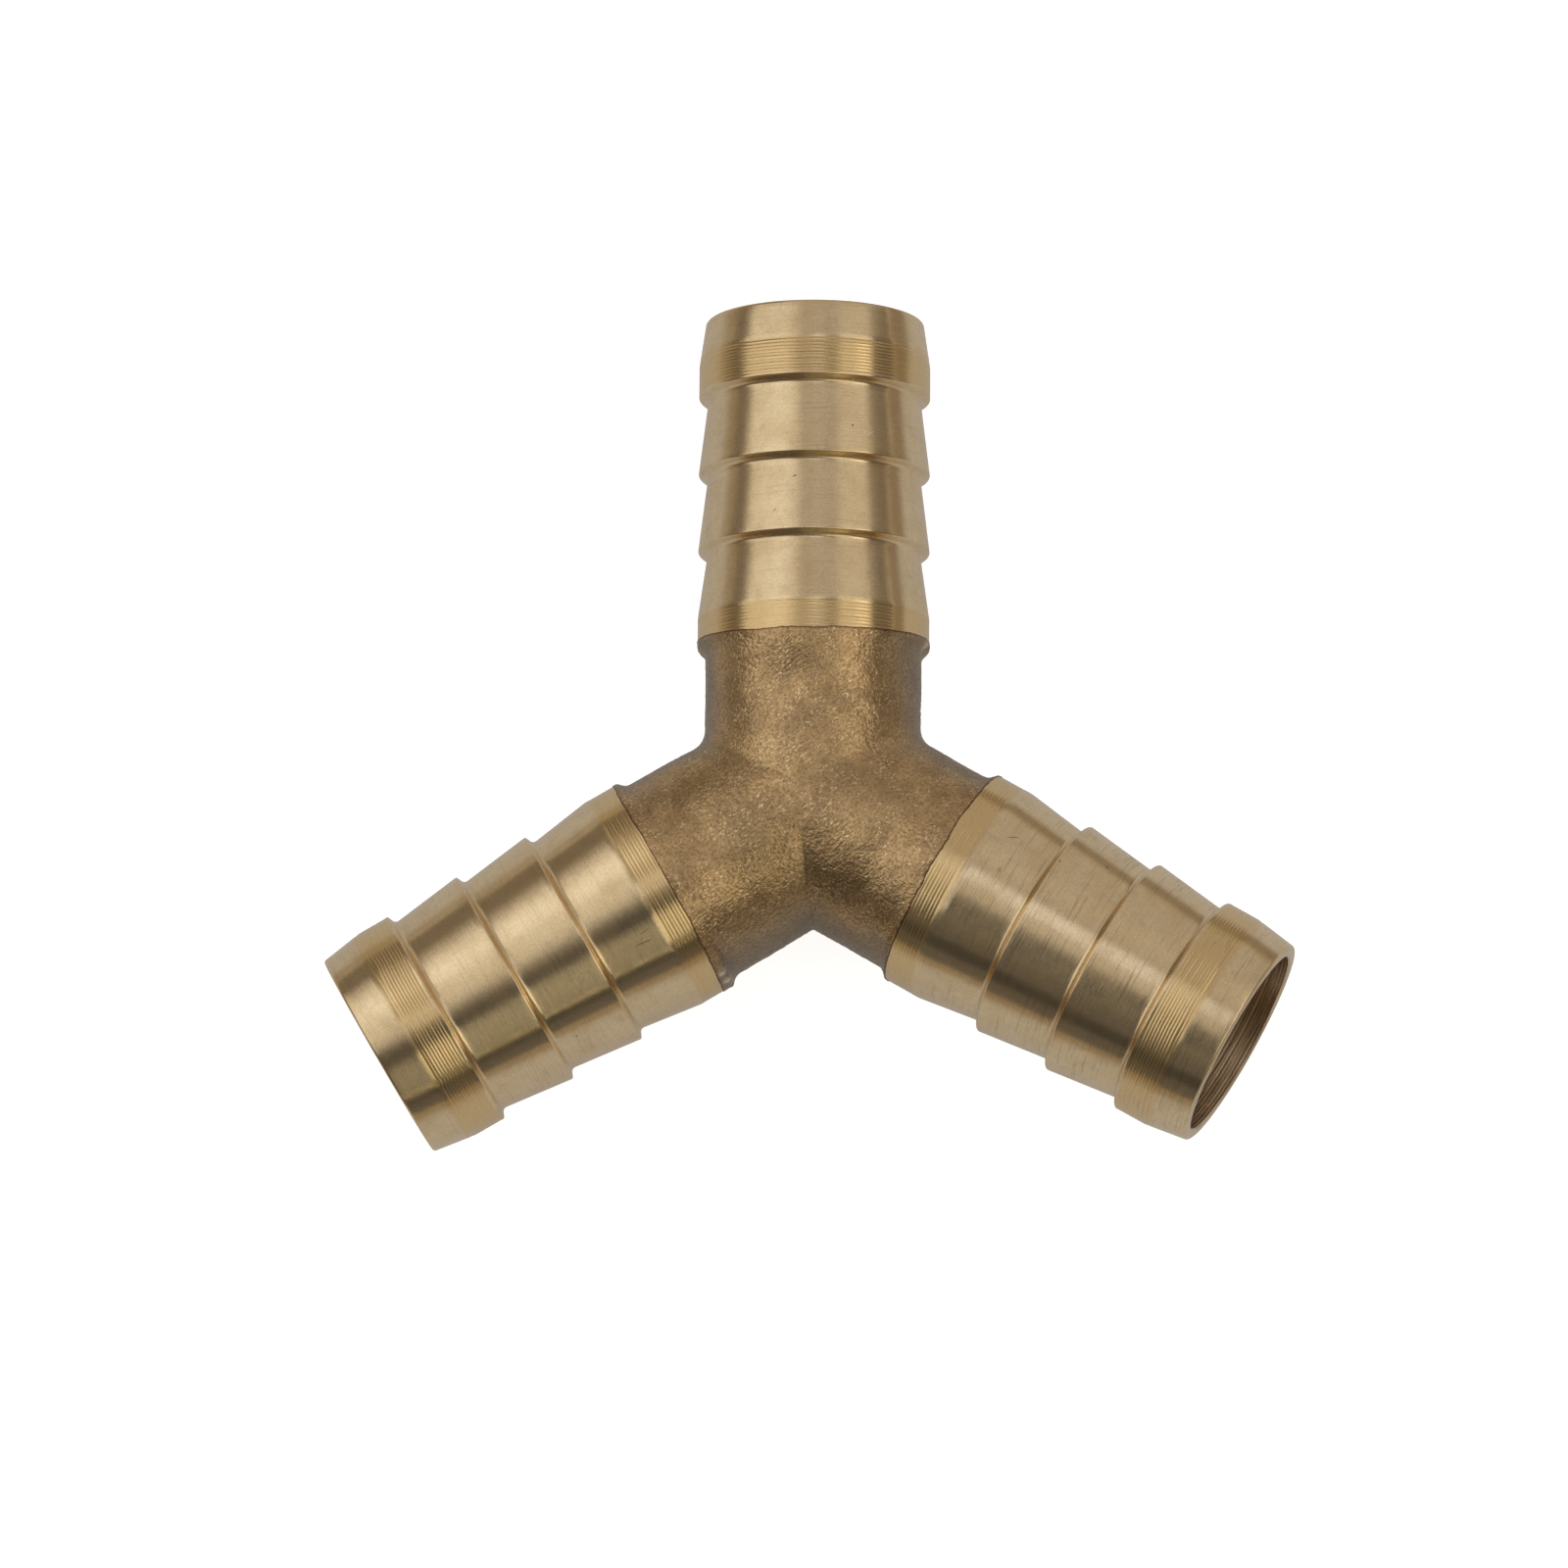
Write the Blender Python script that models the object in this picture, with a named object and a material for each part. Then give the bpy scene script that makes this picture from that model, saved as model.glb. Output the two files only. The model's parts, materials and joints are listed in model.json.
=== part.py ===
"""Brass Y hose connector: a rough cast hub and three turned hose tails at 120 degrees.

Metres, +Z up. The Y lies flat in the XY plane, with the origin where the three axes meet.
"""

import math

import bmesh
import bpy
from mathutils import Matrix

# Each arm of the Y: its tail's name, its direction in degrees from +X, the distance from the
# origin to its mouth, and the distance to the seam where the cast skin ends and turning starts.
ARMS = (
    ("hose_tail_top", 90.0, 0.04260, 0.01390),
    ("hose_tail_left", 210.0, 0.04320, 0.01435),
    ("hose_tail_right", 330.0, 0.04260, 0.01330),
)

# Barbs, for a hose of 19 mm bore. Distances along a tail are counted from its mouth.
CREST_RADIUS = 0.01003
ROOT_RADIUS = 0.00925
MOUTH_RADIUS = 0.00942
BASE_RADIUS = 0.01003
LEAD_TAPER = 0.0040
FIRST_STEP = 0.00687
BARB_PITCH = 0.00684
STEPS = 3
STEP_LENGTH = 0.00105
STEP_ROUND = 0.00018
ROOT_RUNOUT = 0.00030
BASE_FLANK_END = 0.0265

# Hub arms, counted from the origin. A concave fillet leads up from the neck to the shoulder.
NECK_RADIUS = 0.00933
SHOULDER = 0.01380
SHOULDER_FILLET = 0.0013
FILLET_POINTS = 5

# The waterway: a cast core through the hub, opened out by boring from each mouth.
CORE_RADIUS = 0.0078
BORE_RADIUS = 0.0084
BORE_STOP = 0.0016
BORE_CONE = 0.0006
RIM_CHAMFER = 0.00015

# Each tail has a spigot that sits in a socket in the hub, with a gap all round.
SPIGOT_RADIUS = 0.0085
SPIGOT_LENGTH = 0.0030
SPIGOT_GAP = 0.00015
SEAM_GAP = 0.0002

SEGMENTS = 48
SMOOTH_ANGLE = math.radians(20)
MERGE = 1e-6


def clear_scene():
    for obj in list(bpy.data.objects):
        bpy.data.objects.remove(obj)


def brass(name, colour, roughness):
    material = bpy.data.materials.new(name)
    material.use_nodes = True
    shader = material.node_tree.nodes["Principled BSDF"]
    shader.inputs["Base Color"].default_value = (*colour, 1.0)
    shader.inputs["Metallic"].default_value = 1.0
    shader.inputs["Roughness"].default_value = roughness
    return material


def shoulder_outline():
    """The neck's end and the concave arc up to the shoulder, as (distance, radius) pairs."""
    rise = BASE_RADIUS - NECK_RADIUS
    full = math.acos(1.0 - rise / SHOULDER_FILLET)
    start = SHOULDER - SHOULDER_FILLET * math.sin(full)
    points = []
    for i in range(FILLET_POINTS):
        angle = full * i / (FILLET_POINTS - 1)
        radius = NECK_RADIUS + SHOULDER_FILLET * (1.0 - math.cos(angle))
        points.append((start + SHOULDER_FILLET * math.sin(angle), radius))
    return points


def barb_outline(reach):
    """The turned skin from the base land out to the mouth, as (distance, radius) pairs."""
    points = [(reach - BASE_FLANK_END, BASE_RADIUS)]
    for step in reversed(range(STEPS)):
        middle = reach - FIRST_STEP - step * BARB_PITCH
        half = STEP_LENGTH / 2
        points.append((middle - half - ROOT_RUNOUT, ROOT_RADIUS))
        points.append((middle - half + STEP_ROUND, ROOT_RADIUS + STEP_ROUND / 2))
        points.append((middle + half - STEP_ROUND, CREST_RADIUS - STEP_ROUND / 2))
        points.append((middle + half, CREST_RADIUS))
    points.append((reach - LEAD_TAPER, CREST_RADIUS))
    points.append((reach - RIM_CHAMFER, MOUTH_RADIUS))
    return points


def arm_skin(reach):
    """A whole arm's outer skin, from its neck to its mouth, as (distance, radius) pairs."""
    return [(SHOULDER / 2, NECK_RADIUS)] + shoulder_outline() + barb_outline(reach)


def split_at(points, distance):
    """The outline up to a distance and the outline beyond it, both with a point there."""
    for (near, r_near), (far, r_far) in zip(points, points[1:]):
        if near <= distance <= far:
            share = (distance - near) / (far - near)
            cut = (distance, r_near + share * (r_far - r_near))
    inner = [p for p in points if p[0] < distance - MERGE]
    outer = [p for p in points if p[0] > distance + MERGE]
    return inner + [cut], [cut] + outer


def add_ring(bm, distance, radius, mitred=False):
    """A ring of vertices about +Y. A mitred ring lies where this arm meets its neighbours."""
    ring = []
    for i in range(SEGMENTS):
        angle = math.tau * i / SEGMENTS
        x, z = radius * math.cos(angle), radius * math.sin(angle)
        y = abs(x) * math.tan(math.radians(30)) if mitred else distance
        ring.append(bm.verts.new((x, y, z)))
    return ring


def join_rings(bm, near, far):
    for i in range(SEGMENTS):
        j = (i + 1) % SEGMENTS
        bm.faces.new((near[i], near[j], far[j], far[i]))


def finish_object(bm, name, material):
    bmesh.ops.remove_doubles(bm, verts=bm.verts, dist=MERGE)
    bmesh.ops.recalc_face_normals(bm, faces=bm.faces)
    mesh = bpy.data.meshes.new(name)
    bm.to_mesh(mesh)
    bm.free()
    mesh.shade_smooth()
    mesh.set_sharp_from_angle(angle=SMOOTH_ANGLE)
    mesh.materials.append(material)
    obj = bpy.data.objects.new(name, mesh)
    bpy.context.scene.collection.objects.link(obj)
    return obj


def hose_tail(name, direction, reach, seam, material):
    """One turned tail: barbs outside, bore and rim, and the spigot at its inner end."""
    skin = split_at(arm_skin(reach), seam + SEAM_GAP / 2)[1]
    outline = skin + [
        (reach, MOUTH_RADIUS - RIM_CHAMFER),
        (reach, BORE_RADIUS + RIM_CHAMFER),
        (reach - RIM_CHAMFER, BORE_RADIUS),
        (seam + BORE_STOP + BORE_CONE, BORE_RADIUS),
        (seam + BORE_STOP, CORE_RADIUS),
        (seam - SPIGOT_LENGTH, CORE_RADIUS),
        (seam - SPIGOT_LENGTH, SPIGOT_RADIUS),
        (seam + SEAM_GAP / 2, SPIGOT_RADIUS),
    ]
    bm = bmesh.new()
    rings = [add_ring(bm, distance, radius) for distance, radius in outline]
    for near, far in zip(rings, rings[1:] + rings[:1]):
        join_rings(bm, near, far)
    tail = finish_object(bm, name, material)
    tail.rotation_euler.z = math.radians(direction - 90.0)
    return tail


def add_hub_arm(bm, direction, reach, seam):
    """One arm of the hub, open at its mitred root, where the next arms close it."""
    skin = split_at(arm_skin(reach), seam - SEAM_GAP / 2)[0]
    socket = SPIGOT_RADIUS + SPIGOT_GAP
    floor = seam - SPIGOT_LENGTH - SEAM_GAP
    outline = skin + [
        (seam - SEAM_GAP / 2, socket),
        (floor, socket),
        (floor, CORE_RADIUS),
    ]
    rings = [add_ring(bm, 0.0, NECK_RADIUS, mitred=True)]
    rings += [add_ring(bm, distance, radius) for distance, radius in outline]
    rings.append(add_ring(bm, 0.0, CORE_RADIUS, mitred=True))
    for near, far in zip(rings, rings[1:]):
        join_rings(bm, near, far)
    turn = Matrix.Rotation(math.radians(direction - 90.0), 3, "Z")
    bmesh.ops.transform(bm, matrix=turn.to_4x4(), verts=[v for ring in rings for v in ring])


def cast_hub(material):
    bm = bmesh.new()
    for _, direction, reach, seam in ARMS:
        add_hub_arm(bm, direction, reach, seam)
    return finish_object(bm, "cast_hub", material)


def main():
    clear_scene()
    cast_hub(brass("cast_brass", (0.38, 0.27, 0.16), 0.6))
    turned = brass("turned_brass", (0.72, 0.57, 0.33), 0.25)
    for name, direction, reach, seam in ARMS:
        hose_tail(name, direction, reach, seam, turned)


main()
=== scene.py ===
"""A brass Y hose connector: a rough cast hub and three turned hose tails, on a pale floor.

Metres, +Z up. Each tail is turned about its own +Y and then swung round to its place.
"""

import json
import math
from collections import namedtuple

import bmesh
import bpy
import numpy as np
from mathutils import Matrix, Vector, noise


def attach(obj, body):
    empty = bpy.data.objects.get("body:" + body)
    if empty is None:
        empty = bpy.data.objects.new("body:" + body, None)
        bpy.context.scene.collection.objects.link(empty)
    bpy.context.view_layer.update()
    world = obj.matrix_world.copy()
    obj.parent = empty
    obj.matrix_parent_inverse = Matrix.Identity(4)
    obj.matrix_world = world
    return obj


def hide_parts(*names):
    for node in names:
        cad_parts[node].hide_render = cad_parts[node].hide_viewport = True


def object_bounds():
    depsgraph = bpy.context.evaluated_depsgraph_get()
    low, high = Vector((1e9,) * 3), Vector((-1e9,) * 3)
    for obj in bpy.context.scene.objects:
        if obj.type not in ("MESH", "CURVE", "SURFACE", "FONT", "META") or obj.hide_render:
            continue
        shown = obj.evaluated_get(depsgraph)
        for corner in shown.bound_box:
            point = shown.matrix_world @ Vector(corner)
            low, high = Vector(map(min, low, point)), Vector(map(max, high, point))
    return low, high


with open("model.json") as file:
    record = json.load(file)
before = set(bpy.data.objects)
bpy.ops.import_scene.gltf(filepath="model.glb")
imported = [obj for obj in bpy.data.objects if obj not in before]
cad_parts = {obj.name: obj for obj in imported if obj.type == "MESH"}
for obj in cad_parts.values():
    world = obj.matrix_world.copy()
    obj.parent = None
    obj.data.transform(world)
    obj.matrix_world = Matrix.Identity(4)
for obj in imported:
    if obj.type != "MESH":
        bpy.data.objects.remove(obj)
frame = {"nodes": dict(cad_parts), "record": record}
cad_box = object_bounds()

MM = 0.001
HAIR = 1e-9
Arm = namedtuple("Arm", "node axis seam reach")

# Barbs. Distances are counted from the mouth, and a step is the steep back of a barb.
CREST_RADIUS = 10.04 * MM
ROOT_RADIUS = 9.24 * MM
MOUTH_RADIUS = 9.46 * MM
BASE_RADIUS = 10.03 * MM
LEAD_TAPER = 3.9 * MM
FIRST_STEP = 6.87 * MM
BARB_PITCH = 6.84 * MM
STEPS = 3
STEP_HALF_LENGTH = 0.17 * MM
CREST_ROUND = 0.20 * MM
ROOT_ROUND = 0.42 * MM
BASE_FLANK_END = 26.3 * MM
FLANK_ROUND = 2.0 * MM
MOUTH_ROUND = 0.28 * MM
RIM_CHAMFER = 0.15 * MM

# The hub's arms, counted from the origin.
NECK_RADIUS = 9.33 * MM
SHOULDER = 13.7 * MM
SHOULDER_FOOT = 13.05 * MM
SHOULDER_FILLET = 1.3 * MM
SHOULDER_ROUND = 0.3 * MM
SHOULDER_LAND = 0.1 * MM
CROTCH_BLEND = 1.1 * MM
LOWER_CROTCH_BLEND = 0.12 * MM
RAMP_START = 8.5 * MM

# The ragged edge of the cast skin, where turning stopped. For each tail: its distance at the
# top and bottom, and at the two sides. Its waves have a frequency, an offset and a share each.
SEAMS = {
    "hose_tail_top": (13.62 * MM, 14.20 * MM, 14.25 * MM),
    "hose_tail_left": (14.16 * MM, 14.10 * MM, 14.65 * MM),
    "hose_tail_right": (13.37 * MM, 13.20 * MM, 13.20 * MM),
}
SEAM_RAGGED = 0.09 * MM
SEAM_WAVES = ((4.2, 0.0, 1.0), (17.0, 3.0, 0.7))
SEAM_SIDE_SHARE = 2.5
LIP_LENGTH = 0.10 * MM
LIP_HEIGHT = 0.045 * MM
# The width of the painted shadow line along the seam.
LIP_PAINTED_SHADE = 0.20 * MM
LIP_GAP = 0.015 * MM

# Burrs the tool left on the cast edge: the arm's heading in degrees, the distance from the
# origin in millimetres, the angle round from the top in degrees, and the size and height in
# millimetres.
BURRS = (
    (90, 13.5, 80, 0.45, 0.25),
    (210, 14.1, -70, 0.45, 0.20),
    (210, 13.9, -80, 0.45, 0.25),
    (210, 13.4, -88, 0.40, 0.15),
)
# How strongly each burr is painted with a bright glint.
BURR_PAINTED_GLINT_SHARE = 0.8

# The waterway and the spigot joint.
CORE_RADIUS = 7.8 * MM
BORE_RADIUS = 8.4 * MM
BORE_STOP = 1.6 * MM
BORE_CONE = 0.6 * MM
SPIGOT_RADIUS = 8.5 * MM
SPIGOT_LENGTH = 3.0 * MM
SPIGOT_GAP = 0.15 * MM
SPIGOT_END_GAP = 0.16 * MM
SEAM_GAP = 0.04 * MM
TUBE_WALL_MIDDLE = BORE_RADIUS + 0.5 * MM

# Coarse feed marks: rows of shallow scallops left by the tool's nose.
FEED = 0.288 * MM
FEED_DEPTH = 0.030 * MM
FEED_VARIES = 0.2
FEED_BEAT = 2.7
LEAD_BAND = (3.35 * MM, 6.45 * MM)
BASE_BAND = 2.4 * MM
BASE_WARP = 2.0 * MM
BORE_BAND = 9.0 * MM
BORE_FEED = 1.1
SCALLOP_POINTS = 6

# The cast skin's texture: how far across and how high its waves, lumps and grains are, and the
# mould's parting line.
WAVE_SIZE, WAVE_HEIGHT = 4.5 * MM, 0.09 * MM
LUMP_SIZE, LUMP_HEIGHT = 1.1 * MM, 0.03 * MM
GRAIN_SIZE, GRAIN_HEIGHT = 0.34 * MM, 0.034 * MM
PARTING_WIDTH, PARTING_HEIGHT = 0.16 * MM, 0.03 * MM
PARTING_WAVE = 1.4 * MM
CALM_EDGE = 0.2 * MM

# How strongly each tail shows dark turning streaks.
STREAKS = {"hose_tail_top": 0.22, "hose_tail_left": 0.26, "hose_tail_right": 0.55}

TAIL_SEGMENTS = 256
HUB_SEGMENTS = 320
HUB_RINGS = 80
ARC_POINTS = 7
LONGEST_RING_STEP = 0.45 * MM
NECK_STEPS = 6
BORE_RINGS = 9
TAIL_SHARP_ANGLE = 30.0
HUB_SHARP_ANGLE = 50.0
MERGE = 2e-7


# ---------------------------------------------------------------- outlines

def arms():
    """Each tail's node, axis, seam and reach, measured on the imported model."""
    found = []
    for mount in frame["record"]["mounts"]:
        node = mount["name"].replace("hose_end", "hose_tail")
        axis = Vector(mount["axis"]).normalized()
        along = [axis.dot(v.co) for v in frame["nodes"][node].data.vertices]
        found.append(Arm(node, axis, min(along) + SPIGOT_LENGTH, max(along)))
    return found


def rounded(corners):
    """The outline through (distance, radius, rounding) corners, each rounded with an arc."""
    points = [Vector(corners[0][:2])]
    for before, here, after in zip(corners, corners[1:], corners[2:]):
        corner = Vector(here[:2])
        back = Vector(before[:2]) - corner
        on = Vector(after[:2]) - corner
        half = back.angle(on) / 2
        run = min(here[2] / math.tan(half), 0.49 * back.length, 0.49 * on.length)
        radius = run * math.tan(half)
        back.normalize()
        on.normalize()
        centre = corner + (back + on).normalized() * radius / math.sin(half)
        first = corner + back * run - centre
        last = corner + on * run - centre
        turn = math.atan2(first.x * last.y - first.y * last.x, first.dot(last))
        for i in range(ARC_POINTS):
            spin = Matrix.Rotation(turn * i / (ARC_POINTS - 1), 2)
            points.append(centre + spin @ first)
    points.append(Vector(corners[-1][:2]))
    return np.array([tuple(p) for p in points])


def round_arm(heading, around):
    """An arm's axis, and the direction out of it at this angle from the top, both in degrees."""
    heading, around = math.radians(heading), math.radians(around)
    axis = Vector((math.cos(heading), math.sin(heading), 0))
    side = axis.cross(Vector((0, 0, 1)))
    return axis, Vector((0, 0, 1)) * math.cos(around) + side * math.sin(around)


def seam_distance(arm, angle):
    """How far out the cast skin ends, at these angles round the arm."""
    middle, one_side, other_side = SEAMS[arm.node]
    side = np.where(np.cos(angle) > 0, one_side, other_side)
    share = np.abs(np.cos(angle)) ** SEAM_SIDE_SHARE
    around = np.column_stack([np.cos(angle), np.sin(angle), np.full(len(angle), arm.reach / MM)])
    ragged = sum(
        share_of * smooth_noise(around * frequency + offset, 1.0)
        for frequency, offset, share_of in SEAM_WAVES
    )
    return middle * (1 - share) + side * share + ragged * SEAM_RAGGED


def cast_outline():
    """A hub arm's skin from the origin to beyond its shoulder, as (distance, radius) rows."""
    proud = BASE_RADIUS + LIP_HEIGHT
    return rounded([
        (0.0, NECK_RADIUS, 0.0),
        (SHOULDER_FOOT, NECK_RADIUS, SHOULDER_FILLET),
        (SHOULDER, proud, SHOULDER_ROUND),
        (2 * SHOULDER, proud, 0.0),
    ])


def turned_outline(reach):
    """A tail's outer skin from its base to the mouth's edge, without feed marks."""
    corners = [
        (SHOULDER / 2, BASE_RADIUS, 0.0),
        (reach - BASE_FLANK_END, BASE_RADIUS, FLANK_ROUND),
    ]
    for step in reversed(range(STEPS)):
        middle = reach - FIRST_STEP - step * BARB_PITCH
        corners.append((middle - STEP_HALF_LENGTH, ROOT_RADIUS, ROOT_ROUND))
        corners.append((middle + STEP_HALF_LENGTH, CREST_RADIUS, CREST_ROUND))
    corners.append((reach - LEAD_TAPER, CREST_RADIUS, FLANK_ROUND))
    corners.append((reach, MOUTH_RADIUS, MOUTH_ROUND))
    corners.append((reach, BORE_RADIUS, 0.0))
    return rounded(corners)


def scallops(distance, start, end):
    """Depth of the feed marks at these distances, which fill the stretch from start to end."""
    count = round((end - start) / FEED)
    phase = (distance - start) / (end - start) * count
    inside = (phase > 0) & (phase < count)
    across = phase - np.floor(phase) - 0.5
    depth = FEED_DEPTH * (1 - FEED_VARIES + FEED_VARIES * np.sin(FEED_BEAT * np.floor(phase)))
    return np.where(inside, depth * (1 - 4 * across**2), 0.0)


def scallop_distances(start, end):
    count = round((end - start) / FEED)
    return np.linspace(start, end, count * SCALLOP_POINTS + 1)


def filled(distances):
    """The distances in order, with extra ones wherever two lie far apart."""
    distances = np.unique(np.round(distances, 8))
    steps = np.maximum(1, np.ceil(np.diff(distances) / LONGEST_RING_STEP)).astype(int)
    parts = [
        np.linspace(near, far, count, endpoint=False)
        for near, far, count in zip(distances[:-1], distances[1:], steps)
    ]
    return np.concatenate(parts + [distances[-1:]])


def turned_radius(arm, distance):
    """A tail's outer radius at these distances from the origin, with its feed marks."""
    skin = turned_outline(arm.reach)
    side = skin[skin[:, 0] <= arm.reach - HAIR]
    radius = np.interp(distance, side[:, 0], side[:, 1])
    return radius - scallops(distance, *lead_band(arm)) - scallops(distance, *base_band(arm))


def lead_band(arm):
    return arm.reach - LEAD_BAND[1], arm.reach - LEAD_BAND[0]


def base_band(arm):
    return min(SEAMS[arm.node]), min(SEAMS[arm.node]) + BASE_BAND


def tail_outline(arm):
    """A tail's closed outline as (distance, radius, coarse) rows, round from its inner end."""
    start = arm.seam
    skin = turned_outline(arm.reach)
    rim = skin[skin[:, 0] > arm.reach - HAIR]
    side = skin[(skin[:, 0] <= arm.reach - HAIR) & (skin[:, 0] > start)]
    bands = [scallop_distances(*lead_band(arm)), scallop_distances(*base_band(arm))]
    distance = filled(np.concatenate([side[:, 0], [start]] + bands))
    distance = distance[distance >= start]
    coarse = np.zeros(len(distance))
    for low, high in (lead_band(arm), base_band(arm)):
        coarse[(distance >= low) & (distance <= high)] = 1.0
    outside = np.column_stack([distance, turned_radius(arm, distance), coarse])

    mouth = arm.reach - RIM_CHAMFER
    stop = arm.seam + BORE_STOP
    bored = (mouth - BORE_BAND, mouth)
    inner = filled(np.concatenate([scallop_distances(*bored)[::2], [stop + BORE_CONE]]))[::-1]
    bore = BORE_RADIUS + scallops(inner, *bored) * BORE_FEED
    inside = np.column_stack([inner, bore, -np.ones(len(inner))])
    chamfer = [(arm.reach, rim[0, 1], 0.0), (arm.reach, BORE_RADIUS + RIM_CHAMFER, 0.0)]
    foot = arm.seam - SPIGOT_LENGTH
    spigot = [
        (stop, CORE_RADIUS, -1.0),
        (foot, CORE_RADIUS, -1.0),
        (foot, SPIGOT_RADIUS, 0.0),
        (start, SPIGOT_RADIUS, 0.0),
    ]
    return np.vstack([outside, chamfer, inside, spigot])


# ---------------------------------------------------------------- meshes

def ring_faces(rings, segments, closed):
    """Quads between successive rings of vertices, and from the last to the first if closed."""
    around = np.arange(segments)
    beside = (around + 1) % segments
    faces = []
    for near in range(rings if closed else rings - 1):
        far = (near + 1) % rings
        low, high = near * segments, far * segments
        faces.append(np.column_stack([low + around, high + around, high + beside, low + beside]))
    return np.concatenate(faces)


def new_object(name, points, faces, marks, sharp_angle, merge=0.0):
    """A smooth mesh object, with these point attributes in marks."""
    mesh = bpy.data.meshes.new(name)
    mesh.from_pydata(points.tolist(), [], faces.tolist())
    for mark, values in marks.items():
        mesh.attributes.new(mark, "FLOAT", "POINT").data.foreach_set("value", values)
    bm = bmesh.new()
    bm.from_mesh(mesh)
    if merge:
        bmesh.ops.remove_doubles(bm, verts=bm.verts, dist=merge)
    bmesh.ops.recalc_face_normals(bm, faces=bm.faces)
    bm.to_mesh(mesh)
    bm.free()
    mesh.shade_smooth()
    mesh.set_sharp_from_angle(angle=math.radians(sharp_angle))
    obj = bpy.data.objects.new(name, mesh)
    bpy.context.scene.collection.objects.link(obj)
    return obj


def smooth_noise(points, size, octaves=1):
    """Perlin noise in -1 to 1 at each point, with features of about this size."""
    values = np.empty(len(points))
    for i, p in enumerate(points / size):
        values[i] = noise.fractal(p, 0.9, 2.1, octaves) if octaves > 1 else noise.noise(p)
    return values


def turned_tail(arm):
    """One hose tail: barbs with their feed marks, rim, ringed bore and spigot."""
    outline = tail_outline(arm)
    angle = np.arange(TAIL_SEGMENTS) * math.tau / TAIL_SEGMENTS
    y, radius, coarse = (np.repeat(column[:, None], TAIL_SEGMENTS, axis=1) for column in outline.T)

    # Near its inner end the tail follows the ragged edge of the cast skin, just under the lip.
    edge = seam_distance(arm, angle) - LIP_LENGTH
    far = arm.seam + BASE_WARP
    near = (y >= arm.seam) & (y < far) & (radius > SPIGOT_RADIUS - HAIR)
    warped = edge + (y - arm.seam) * (far - edge) / BASE_WARP
    outside = near & (radius > TUBE_WALL_MIDDLE)
    y = np.where(near, warped, y)
    radius = np.where(outside, turned_radius(arm, y), radius)

    x = radius * np.cos(angle)
    z = radius * np.sin(angle)
    points = np.stack([x, y, z], axis=-1).reshape(-1, 3)
    faces = ring_faces(len(outline), TAIL_SEGMENTS, closed=True)
    marks = {"coarse": coarse.reshape(-1), "streaky": np.full(len(points), STREAKS[arm.node])}
    tail = new_object(arm.node + "_turned", points, faces, marks, TAIL_SHARP_ANGLE)
    tail.rotation_euler.z = math.atan2(arm.axis.y, arm.axis.x) - math.pi / 2
    return tail


def neck_field(points, axis):
    """Distance of points from one arm's plain neck, and the outward direction."""
    along = points @ axis
    radial = points - np.outer(np.maximum(along, 0.0), axis)
    size = np.linalg.norm(radial, axis=1)
    return size - NECK_RADIUS, radial / size[:, None]


def on_necks(points, own, others):
    """Points moved on to the filleted skin where necks run into each other, and its normals."""
    for _ in range(NECK_STEPS):
        field, normal = neck_field(points, own)
        for other in others:
            field_b, normal_b = neck_field(points, other)
            crease = np.clip(2 * (1 - np.sum(normal * normal_b, axis=1)), 0.0, 1.0)
            lower = own[1] < 0 and other[1] < 0
            blend = (LOWER_CROTCH_BLEND if lower else CROTCH_BLEND) * crease + HAIR
            share = np.clip(0.5 + 0.5 * (field_b - field) / blend, 0.0, 1.0)
            field = field_b + (field - field_b) * share - blend * share * (1 - share)
            normal = normal_b + (normal - normal_b) * share[:, None]
            normal /= np.linalg.norm(normal, axis=1)[:, None]
        points = points - normal * field[:, None]
    return points, normal


def cast_skin(points, normal, calm):
    """The sand mould's texture: soft waves, sandy grain and a faint parting line."""
    waves = smooth_noise(points, WAVE_SIZE) * WAVE_HEIGHT
    grain = smooth_noise(points, GRAIN_SIZE, octaves=3) * GRAIN_HEIGHT
    lumps = smooth_noise(points + 0.1, LUMP_SIZE) * LUMP_HEIGHT
    line = np.exp(-((points[:, 2] / PARTING_WIDTH) ** 2))
    parting = line * PARTING_HEIGHT * (1 + smooth_noise(points, PARTING_WAVE))
    return points + normal * ((waves + grain + lumps + parting) * calm)[:, None]


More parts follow.
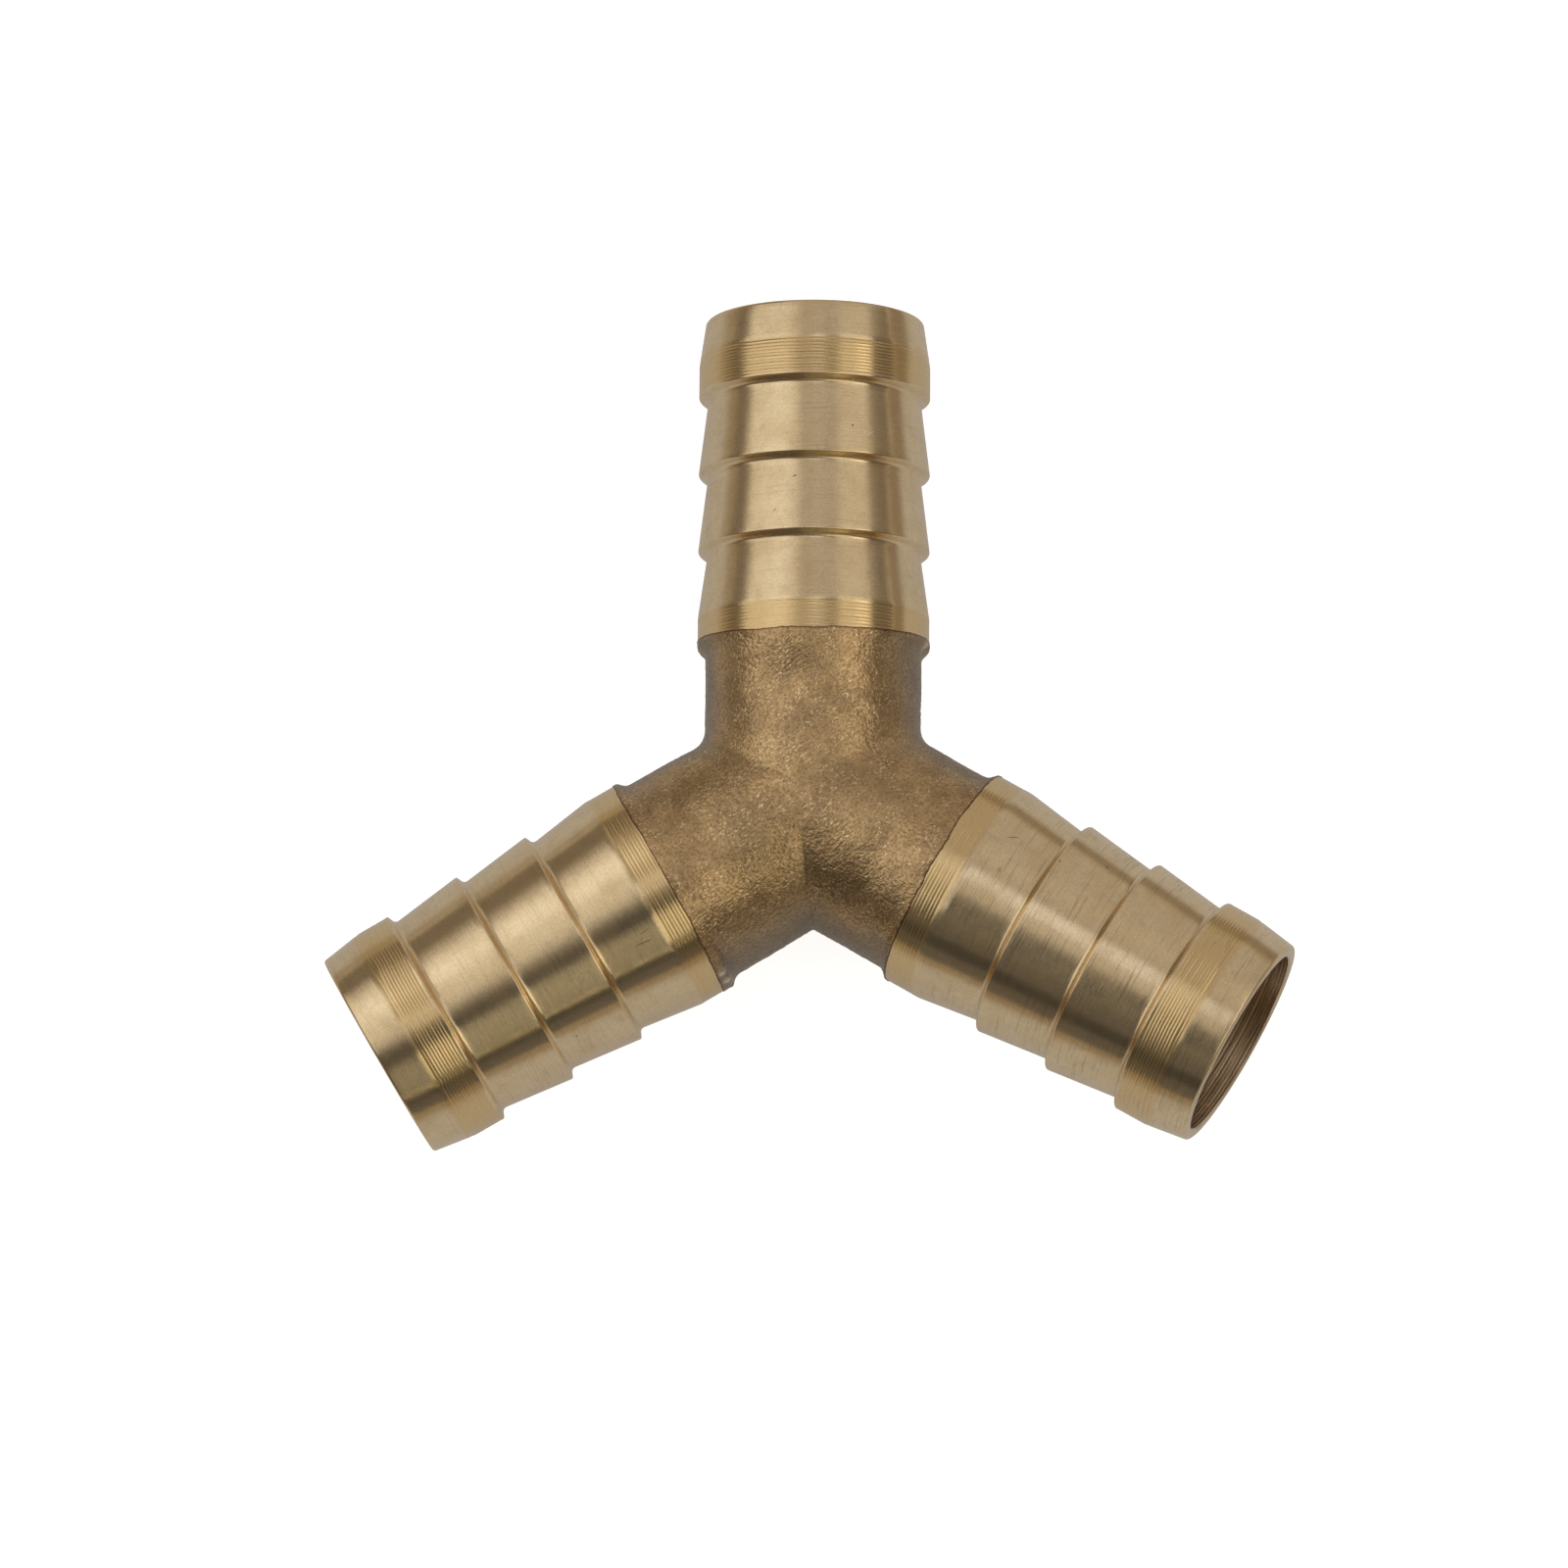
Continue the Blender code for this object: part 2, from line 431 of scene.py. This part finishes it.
def hub_arm(arm, others):
    """One arm of the hub as a grid of rings, from the outer mitre round to the bore's mitre."""
    turn = np.array(Matrix.Rotation(math.atan2(arm.axis.y, arm.axis.x) - math.pi / 2, 3, "Z"))
    outline = cast_outline()
    angle = np.arange(HUB_SEGMENTS) * math.tau / HUB_SEGMENTS
    circle = np.column_stack([np.cos(angle), np.zeros(HUB_SEGMENTS), np.sin(angle)])
    mitre = np.abs(np.cos(angle)) * math.tan(math.radians(30))
    end = seam_distance(arm, angle)
    shift = np.maximum(0.0, SHOULDER + SHOULDER_LAND - end)
    flat = 1 - np.abs(np.cos(angle)) ** 3

    # The skin runs out from the mitre to the seam. It steps up at the sides, where the shoulder
    # shows, and ramps up softly at the top and bottom.
    rings, rises, calms, seam_painted_light = [], [], [], []
    for i in range(HUB_RINGS):
        share = i / (HUB_RINGS - 1)
        distance = mitre * NECK_RADIUS * (1 - share) + end * share
        ring = circle * NECK_RADIUS
        ring[:, 1] = distance
        rings.append(ring)
        steep = np.interp(distance + shift, outline[:, 0], outline[:, 1]) - NECK_RADIUS
        along = np.clip((distance - RAMP_START) / (end - RAMP_START), 0.0, 1.0)
        ramp = (BASE_RADIUS + LIP_HEIGHT - NECK_RADIUS) * along**2 * (3 - 2 * along)
        rises.append(steep * (1 - flat) + ramp * flat)
        calms.append(np.clip((end - distance) / CALM_EDGE, 0.0, 1.0))
        # The seam's painted shadow line darkens the last strip of skin before the edge.
        seam_painted_light.append(np.clip(1 - (end - distance) / LIP_PAINTED_SHADE, 0.0, 1.0))
    skin, normal = on_necks(np.concatenate(rings) @ turn.T, np.array(arm.axis), others)
    skin += normal * np.concatenate(rises)[:, None]
    skin = cast_skin(skin, normal, np.concatenate(calms))
    stain_and_painted_light = np.concatenate(seam_painted_light)
    for heading, distance, around, size, height in BURRS:
        axis, outward = round_arm(heading, around)
        middle = np.array(axis * distance * MM + outward * BASE_RADIUS)
        away = np.linalg.norm(skin - middle, axis=1)
        lump = np.exp(-((away / (size * MM)) ** 2))
        skin += normal * (lump * height * MM)[:, None]
        # Each burr is also painted with a bright glint, as a value below 0.
        stain_and_painted_light = stain_and_painted_light - BURR_PAINTED_GLINT_SHARE * lump

    # Under the lip, then the socket for the spigot and the cast core.
    edge = end - LIP_LENGTH - SEAM_GAP
    socket = SPIGOT_RADIUS + SPIGOT_GAP
    floor = np.full(HUB_SEGMENTS, arm.seam - SPIGOT_LENGTH - SPIGOT_END_GAP)
    under = BASE_RADIUS + LIP_GAP
    rows = [(end, under), (edge, under), (edge, socket), (floor, socket)]
    for share in np.linspace(0.0, 1.0, BORE_RINGS):
        rows.append((floor * (1 - share) + mitre * CORE_RADIUS * share, CORE_RADIUS))
    inner = []
    for distance, radius in rows:
        ring = circle * radius
        ring[:, 1] = distance
        inner.append(ring)
    # The faces under the lip, in the socket and in the core are painted fully with the seam's
    # shadow colour: painted shade.
    stain_and_painted_light = np.concatenate([stain_and_painted_light, np.ones(len(rows) * HUB_SEGMENTS)])
    return np.concatenate([skin, np.concatenate(inner) @ turn.T]), stain_and_painted_light


def cast_hub(all_arms):
    """The hub: three arms that meet at mitres, filleted in the crotches."""
    points, faces, seam_painted_light = [], [], []
    for arm in all_arms:
        others = [np.array(other.axis) for other in all_arms if other is not arm]
        grid, stain_and_painted_light = hub_arm(arm, others)
        start = sum(len(p) for p in points)
        faces.append(start + ring_faces(len(grid) // HUB_SEGMENTS, HUB_SEGMENTS, closed=False))
        points.append(grid)
        seam_painted_light.append(stain_and_painted_light)
    return new_object(
        "cast_hub_rough", np.concatenate(points), np.concatenate(faces),
        {"stain_and_painted_light": np.concatenate(seam_painted_light)}, HUB_SHARP_ANGLE, merge=MERGE,
    )


# ---------------------------------------------------------------- materials

def add(tree, kind, inputs=None, **settings):
    """A new shader node. An input is given a value, or another node's output to link to."""
    made = tree.nodes.new("ShaderNode" + kind)
    for key, value in settings.items():
        setattr(made, key, value)
    for key, value in (inputs or {}).items():
        if isinstance(value, bpy.types.NodeSocket):
            tree.links.new(value, made.inputs[key])
        else:
            made.inputs[key].default_value = value
    return made


def maths(tree, operation, *values, clamp=False):
    """A number worked out from these values or outputs."""
    made = add(tree, "Math", dict(enumerate(values)), operation=operation, use_clamp=clamp)
    return made.outputs[0]


def dotted(tree, coordinates, direction):
    """How far the coordinates reach in this direction."""
    made = add(tree, "VectorMath", {0: coordinates, 1: direction}, operation="DOT_PRODUCT")
    return made.outputs["Value"]


def multiplied(tree, first, second):
    return maths(tree, "MULTIPLY", first, second)


def attribute(tree, name):
    return add(tree, "Attribute", attribute_name=name).outputs["Fac"]


def mixed(tree, share, first, second):
    """Colour mix of two colours, or colour outputs."""
    made = add(tree, "Mix", data_type="RGBA", clamp_factor=True)
    for index, value in ((0, share), (6, first), (7, second)):
        if isinstance(value, bpy.types.NodeSocket):
            tree.links.new(value, made.inputs[index])
        else:
            made.inputs[index].default_value = value
    return made.outputs[2]


def spread(tree, value, low, high, to_low=0.0, to_high=1.0):
    """The value taken from low..high to to_low..to_high, smoothly and clamped."""
    made = add(
        tree,
        "MapRange",
        {0: value, 1: low, 2: high, 3: to_low, 4: to_high},
        interpolation_type="SMOOTHSTEP",
    )
    return made.outputs[0]


def scaled(tree, coordinates, factors):
    made = add(tree, "VectorMath", {0: coordinates, 1: factors}, operation="MULTIPLY")
    return made.outputs[0]


def noisy(tree, coordinates, factors, detail=2.0, roughness=0.5):
    """Noise at the coordinates in millimetres times these factors."""
    factors = tuple(f / MM for f in factors)
    made = add(
        tree,
        "TexNoise",
        {"Vector": scaled(tree, coordinates, factors), "Scale": 1.0, "Detail": detail,
         "Roughness": roughness},
    )
    return made.outputs["Fac"]


def new_material(name):
    material = bpy.data.materials.new(name)
    material.use_nodes = True
    tree = material.node_tree
    return material, tree, tree.nodes["Principled BSDF"]


# Turned brass.
PLAIN_LIGHT = (0.97, 0.78, 0.495, 1)
PLAIN_DARK = (0.90, 0.70, 0.42, 1)
GOLD_LIGHT = (0.95, 0.715, 0.375, 1)
GOLD_DARK = (0.85, 0.62, 0.31, 1)
TARNISH = (0.62, 0.48, 0.30, 1)
GRIT = (0.50, 0.37, 0.25, 1)
STREAK = (0.42, 0.31, 0.21, 1)
BORE_DARK = (0.42, 0.30, 0.20, 1)
BORE_LIGHT = (0.95, 0.74, 0.50, 1)
NICK_BRIGHT = (1.0, 0.95, 0.8, 1)
NICK_DARK = (0.20, 0.11, 0.07, 1)
BORE_ROUGHER = 0.1
RING_BUMP = 0.010 * MM

# Cast brass.
CAST_LIGHT = (0.68, 0.465, 0.24, 1)
CAST_DARK = (0.47, 0.32, 0.17, 1)
CAST_DUST = (0.24, 0.165, 0.10, 1)
# Painted glints on the cast skin.
CAST_PAINTED_GLINT = (0.95, 0.72, 0.42, 1)
# The painted shade on the hub's sides.
CAST_SIDE_PAINTED_SHADE = (0.22, 0.175, 0.135, 1)
# Painted glint on the burrs.
BURR_PAINTED_GLINT = (0.98, 0.86, 0.66, 1)
# Painted shadow line along the seam.
SEAM_PAINTED_SHADE = (0.13, 0.05, 0.03, 1)
BRUSH_ANGLE = math.radians(-38)
BRUSHED_SHARE = 0.6
GRAIN_BUMP = 0.066 * MM

# Small nicks and pits on the turned metal: the arm's heading in degrees, the distance from the
# origin, the angle round from the top in degrees, length, width, the slant from the axis in
# degrees, and whether it is bright (1) or dark (-1), or in between. Lengths are in millimetres.
MARK_RADIUS = 9.7
MARK_DEPTH = 1.6
MARKS = (
    (90, 31.0, 35, 0.80, 0.12, 65, 1.0),
    (90, 31.5, 25, 0.25, 0.20, 0, -0.8),
    (90, 27.0, -5, 0.45, 0.15, 70, -0.9),
    (90, 24.0, -15, 0.40, 0.30, 50, -0.3),
    (90, 17.0, 45, 7.0, 0.12, 0, 0.45),
    (330, 18.0, -30, 1.10, 0.12, -40, -0.7),
    (330, 22.5, -30, 0.35, 0.25, 60, -0.6),
    (330, 26.0, -45, 0.50, 0.35, 20, -0.35),
    (330, 18.5, -10, 0.50, 0.40, 80, -0.3),
    (210, 18.5, -30, 1.70, 0.10, 5, -0.7),
    (210, 18.0, -25, 1.20, 0.09, -10, -0.6),
    (210, 27.5, -60, 0.25, 0.20, 0, -0.7),
)


def marked(tree, colour):
    """The colour with the nicks and pits on it."""
    place = add(tree, "NewGeometry").outputs["Position"]
    for heading, distance, angle, length, width, slant, tone in MARKS:
        axis, outward = round_arm(heading, angle)
        slant = math.radians(slant)
        around = axis.cross(outward)
        middle = axis * distance * MM + outward * MARK_RADIUS * MM
        offset = add(tree, "VectorMath", {0: place, 1: middle}, operation="SUBTRACT").outputs[0]
        span = 0.0
        for direction, size in (
            (axis * math.cos(slant) + around * math.sin(slant), length),
            (around * math.cos(slant) - axis * math.sin(slant), width),
            (outward, MARK_DEPTH),
        ):
            part = maths(tree, "ABSOLUTE", dotted(tree, offset, direction * 2 / (size * MM)))
            span = maths(tree, "ADD", span, maths(tree, "POWER", part, 2.0))
        share = spread(tree, span, 0.3, 1.3, abs(tone), 0.0)
        colour = mixed(tree, share, colour, NICK_BRIGHT if tone > 0 else NICK_DARK)
    return colour


def turned_brass():
    """Bright lathe-turned brass: fine rings round the axis, golden where the feed is coarse."""
    material, tree, shader = new_material("turned_brass")
    place = add(tree, "TexCoord").outputs["Object"]
    coarse = attribute(tree, "coarse")
    bored = maths(tree, "MULTIPLY", coarse, -1.0, clamp=True)
    blotches = noisy(tree, place, (0.35, 0.35, 0.35), detail=4.0, roughness=0.6)
    tarnish = noisy(tree, place, (0.8, 0.5, 0.8), detail=5.0, roughness=0.65)
    grit = noisy(tree, place, (5.0, 7.0, 5.0), detail=3.0, roughness=0.7)
    rings = noisy(tree, place, (0.20, 4.6, 0.20), detail=5.0, roughness=0.75)
    scuffed = noisy(tree, place, (0.16, 0.10, 0.16), detail=2.0)
    plain = mixed(tree, spread(tree, blotches, 0.35, 0.7), PLAIN_LIGHT, PLAIN_DARK)
    plain = mixed(tree, spread(tree, tarnish, 0.50, 0.72, 0.0, 0.30), plain, TARNISH)
    gold = mixed(tree, spread(tree, rings, 0.3, 0.7), GOLD_LIGHT, GOLD_DARK)
    colour = mixed(tree, coarse, plain, gold)
    colour = mixed(tree, spread(tree, grit, 0.35, 0.62, 0.24, 0.0), colour, GRIT)
    streaks = multiplied(tree, spread(tree, rings, 0.49, 0.34), attribute(tree, "streaky"))
    streaks = multiplied(tree, streaks, spread(tree, scuffed, 0.38, 0.60, 0.3, 1.0))
    colour = mixed(tree, streaks, colour, STREAK)
    dull = mixed(tree, spread(tree, rings, 0.35, 0.62), BORE_DARK, BORE_LIGHT)
    colour = mixed(tree, bored, marked(tree, colour), dull)
    tree.links.new(colour, shader.inputs["Base Color"])
    shader.inputs["Metallic"].default_value = 1.0
    worn = spread(tree, blotches, 0.3, 0.75, 0.18, 0.25)
    roughness = maths(tree, "ADD", worn, multiplied(tree, bored, BORE_ROUGHER))
    tree.links.new(roughness, shader.inputs["Roughness"])
    shader.inputs["Anisotropic"].default_value = 0.8
    tangent = add(tree, "Tangent", direction_type="RADIAL", axis="Y")
    tree.links.new(tangent.outputs[0], shader.inputs["Tangent"])
    shader.inputs["Anisotropic Rotation"].default_value = 0.25
    bump = add(tree, "Bump", {"Strength": 1.0, "Distance": RING_BUMP, "Height": rings})
    tree.links.new(bump.outputs[0], shader.inputs["Normal"])
    return material


def cast_brass():
    """Sand-cast and brushed brass skin: brown bronze with painted golden glints, and painted shade
    on its sides and at the seam.
    """
    material, tree, shader = new_material("cast_brass")
    place = add(tree, "TexCoord").outputs["Object"]
    stain_and_painted_light = noisy(tree, place, (0.30, 0.30, 0.30), detail=4.0, roughness=0.6)
    patchy = noisy(tree, place, (0.55, 0.55, 0.55), detail=2.0)
    grain = noisy(tree, place, (3.7, 3.7, 3.7), detail=3.0, roughness=0.55)
    turned = add(
        tree, "VectorRotate", {"Vector": place, "Angle": BRUSH_ANGLE}, rotation_type="Z_AXIS"
    ).outputs[0]
    brushed = noisy(tree, turned, (0.9, 6.0, 4.0), detail=2.0, roughness=0.6)
    speck = noisy(tree, turned, (3.5, 6.5, 5.0), detail=1.0)
    brown = mixed(tree, spread(tree, stain_and_painted_light, 0.35, 0.7), CAST_LIGHT, CAST_DARK)
    dusty = mixed(tree, spread(tree, grain, 0.54, 0.38, 0.0, 0.45), brown, CAST_DUST)
    # Painted glints: random specks painted light gold, where real grains would catch the light.
    painted_glint = multiplied(tree, spread(tree, speck, 0.56, 0.68), spread(tree, patchy, 0.40, 0.58))
    colour = mixed(tree, painted_glint, dusty, CAST_PAINTED_GLINT)

    # Painted shade: the sides, which face neither up nor down, are painted darker and greyer than
    # the top and underside.
    normal = add(tree, "NewGeometry").outputs["Normal"]
    upright = maths(tree, "ABSOLUTE", add(tree, "SeparateXYZ", {0: normal}).outputs["Z"])
    colour = mixed(tree, spread(tree, upright, 0.75, 0.30, 0.0, 0.70), colour, CAST_SIDE_PAINTED_SHADE)

    # Above 0 is a painted shadow line along the seam, and on the faces inside the hub; below 0 is
    # a painted glint on a burr.
    edge = attribute(tree, "stain_and_painted_light")
    colour = mixed(tree, maths(tree, "MULTIPLY", edge, -1.0, clamp=True), colour, BURR_PAINTED_GLINT)
    colour = mixed(tree, spread(tree, edge, 0.1, 0.8, 0.0, 0.9), colour, SEAM_PAINTED_SHADE)
    tree.links.new(colour, shader.inputs["Base Color"])
    shader.inputs["Metallic"].default_value = 1.0
    tree.links.new(spread(tree, grain, 0.35, 0.65, 0.31, 0.21), shader.inputs["Roughness"])
    both = maths(tree, "ADD", grain, multiplied(tree, brushed, BRUSHED_SHARE))
    bump = add(tree, "Bump", {"Strength": 1.0, "Distance": GRAIN_BUMP, "Height": both})
    tree.links.new(bump.outputs[0], shader.inputs["Normal"])
    return material


# ---------------------------------------------------------------- studio

# The floor. The camera sees it nearly white, and the metal mirrors it darker, by place.
FLOOR_SIZE = 16.0
FLOOR_PAPER = (0.85, 0.85, 0.85, 1)
FLOOR_GLOW = 0.8625
FLOOR_NEAR = (0.49, 0.49, 0.50, 1)
FLOOR_FAR = (0.32, 0.27, 0.205, 1)
FLOOR_WALL = (0.43, 0.39, 0.32, 1)
# A painted shadow on the floor, east of the part.
FLOOR_EAST_PAINTED_SHADOW = (0.28, 0.24, 0.20, 1)
FLOOR_FILL = 0.43
BACKDROP = (1.0, 1.0, 1.0, 1)

# Soft panels round the part, later ones over earlier ones. Each has the direction of its
# middle, its half width and half height as tangents, the softness of its side edges and of
# its top and bottom edges, and its colour.
PANELS = (
    ("wall", (0.30, 0.80, 0.52), 0.82, 1.0, 0.14, 0.40, (0.43, 0.39, 0.35)),
    ("pit", (-0.43, -0.83, 0.37), 0.35, 0.12, 0.20, 0.04, (0.055, 0.050, 0.045)),
    ("ceiling", (-0.05, 0.01, 0.99), 0.24, 0.30, 0.14, 0.13, (0.53, 0.49, 0.44)),
    ("side", (0.72, -0.03, 0.67), 0.54, 0.31, 0.20, 0.05, (0.70, 0.66, 0.59)),
    ("counter", (0.165, -0.74, 0.65), 0.28, 0.33, 0.10, 0.03, (0.235, 0.22, 0.175)),
    ("slot", (0.29, -0.91, 0.29), 0.24, 0.08, 0.10, 0.03, (0.055, 0.050, 0.040)),
    ("gap", (-0.10, -0.50, 0.86), 0.24, 0.11, 0.12, 0.08, (0.065, 0.060, 0.055)),
    ("foot", (0.48, -0.52, 0.70), 0.24, 0.30, 0.07, 0.06, (0.80, 0.74, 0.60)),
    ("lamp", (0.80, -0.17, 0.57), 0.18, 0.12, 0.05, 0.05, (1.5, 1.35, 1.1)),
    ("gleam", (0.275, -0.885, 0.38), 0.30, 0.02, 0.05, 0.012, (0.62, 0.56, 0.38)),
    ("key", (-0.665, 0.13, 0.735), 0.56, 0.52, 0.04, 0.05, (0.74, 0.70, 0.64)),
    ("core", (-0.52, 0.33, 0.79), 0.18, 0.18, 0.20, 0.20, (0.96, 0.94, 0.92)),
    ("overhead", (0.15, 0.10, 0.98), 0.14, 0.14, 0.05, 0.06, (0.84, 0.83, 0.86)),
)
ROOM_DARK = (0.11, 0.10, 0.09, 1)
ROOM_WARM = (0.18, 0.15, 0.12, 1)


def studio():
    """The room as reflections see it, as a smooth function of direction. Cameras see white."""
    world = bpy.data.worlds.new("studio")
    bpy.context.scene.world = world
    world.use_nodes = True
    tree = world.node_tree
    tree.nodes.clear()
    toward = add(tree, "TexCoord").outputs["Generated"]
    north = dotted(tree, toward, (0.0, 1.0, 0.0))
    colour = mixed(tree, spread(tree, north, -0.5, 0.4), ROOM_DARK, ROOM_WARM)
    for _, middle, half_width, half_height, side_edge, end_edge, light in PANELS:
        facing = Vector(middle).normalized()
        across = Vector((0, 0, 1)).cross(facing).normalized()
        up = facing.cross(across)
        depth = dotted(tree, toward, facing)
        masks = [maths(tree, "GREATER_THAN", depth, 0.05)]
        for direction, half, edge in (
            (across, half_width, side_edge), (up, half_height, end_edge)
        ):
            offset = maths(tree, "DIVIDE", dotted(tree, toward, direction), depth)
            offset = maths(tree, "ABSOLUTE", offset)
            masks.append(spread(tree, offset, half - edge, half + edge, 1.0, 0.0))
        share = multiplied(tree, multiplied(tree, *masks[:2]), masks[2])
        colour = mixed(tree, share, colour, (*light, 1))
    seen = add(tree, "LightPath").outputs["Is Camera Ray"]
    colour = mixed(tree, seen, colour, BACKDROP)
    background = add(tree, "Background", {"Color": colour, "Strength": 1.0})
    output = add(tree, "OutputWorld")
    tree.links.new(background.outputs[0], output.inputs["Surface"])


def floor():
    """A pale floor under the part. It takes only a faint shadow."""
    height = cad_box[0].z
    half = FLOOR_SIZE / 2
    corners = [(x * half, y * half, height) for x, y in ((-1, -1), (1, -1), (1, 1), (-1, 1))]
    mesh = bpy.data.meshes.new("floor")
    mesh.from_pydata(corners, [], [(0, 1, 2, 3)])
    obj = bpy.data.objects.new("floor", mesh)
    bpy.context.scene.collection.objects.link(obj)
    material = bpy.data.materials.new("floor")
    material.use_nodes = True
    tree = material.node_tree
    tree.nodes.clear()

    def glowing(paper, glow, strength):
        bounce = add(tree, "BsdfDiffuse", {"Color": paper})
        light = add(tree, "Emission", {"Color": glow, "Strength": strength})
        return add(tree, "AddShader", {0: bounce.outputs[0], 1: light.outputs[0]}).outputs[0]

    lit = glowing(FLOOR_PAPER, (1, 1, 1, 1), FLOOR_GLOW)
    place = add(tree, "NewGeometry").outputs["Position"]
    away = add(tree, "VectorMath", {0: place}, operation="LENGTH").outputs["Value"]
    north = dotted(tree, place, (0.2, 0.97, 0.0))
    east = dotted(tree, place, (0.8, 0.6, 0.0))
    far = mixed(tree, spread(tree, north, 0.05, 0.14), FLOOR_FAR, FLOOR_WALL)
    colour = mixed(tree, spread(tree, away, 0.05, 0.16), FLOOR_NEAR, far)
    # A painted shadow on the floor: a darker stretch east of the part, seen only in reflections.
    painted_shadow = multiplied(tree, spread(tree, east, 0.050, 0.074), spread(tree, east, 0.26, 0.17))
    colour = mixed(tree, painted_shadow, colour, FLOOR_EAST_PAINTED_SHADOW)
    mirrored = glowing(colour, colour, FLOOR_FILL)
    seen = add(tree, "LightPath").outputs["Is Camera Ray"]
    both = add(tree, "MixShader", {0: seen, 1: mirrored, 2: lit})
    output = add(tree, "OutputMaterial")
    tree.links.new(both.outputs[0], output.inputs["Surface"])
    mesh.materials.append(material)


# The camera: a long lens, in metres, degrees and, for the sensor, millimetres.
VIEW_AZIMUTH = 24.84
VIEW_ELEVATION = 77.17
VIEW_ROLL = 0.34
VIEW_DISTANCE = 1.0
FIELD_WIDTH = 0.1352
AIM = (-0.00246, 0.00183)
SENSOR = 36.0


def camera():
    """A long lens almost straight above the part, with the +Y tail upright in the picture."""
    azimuth, elevation = math.radians(VIEW_AZIMUTH), math.radians(VIEW_ELEVATION)
    back = Vector((
        math.sin(azimuth) * math.cos(elevation),
        -math.cos(azimuth) * math.cos(elevation),
        math.sin(elevation),
    ))
    right = Vector((0, 1, 0)).cross(back).normalized()
    up = back.cross(right)
    roll = Matrix.Rotation(math.radians(VIEW_ROLL), 3, back)
    right, up = roll @ right, roll @ up
    data = bpy.data.cameras.new("camera")
    data.sensor_width = SENSOR
    data.lens = SENSOR * VIEW_DISTANCE / FIELD_WIDTH
    data.clip_start, data.clip_end = 0.1, 50.0
    obj = bpy.data.objects.new("camera", data)
    bpy.context.scene.collection.objects.link(obj)
    turn = Matrix((right, up, back)).transposed().to_4x4()
    stand = right * AIM[0] + up * AIM[1] + back * VIEW_DISTANCE
    obj.matrix_world = Matrix.Translation(stand) @ turn
    bpy.context.scene.camera = obj


# ---------------------------------------------------------------- the scene

def main():
    bpy.context.scene.view_settings.view_transform = "Standard"
    found = arms()
    bright, rough = turned_brass(), cast_brass()
    for arm in found:
        tail = turned_tail(arm)
        tail.data.materials.append(bright)
        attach(tail, "root")
        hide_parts(arm.node)
    hub = cast_hub(found)
    hub.data.materials.append(rough)
    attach(hub, "root")
    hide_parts("cast_hub")
    studio()
    floor()
    camera()


main()
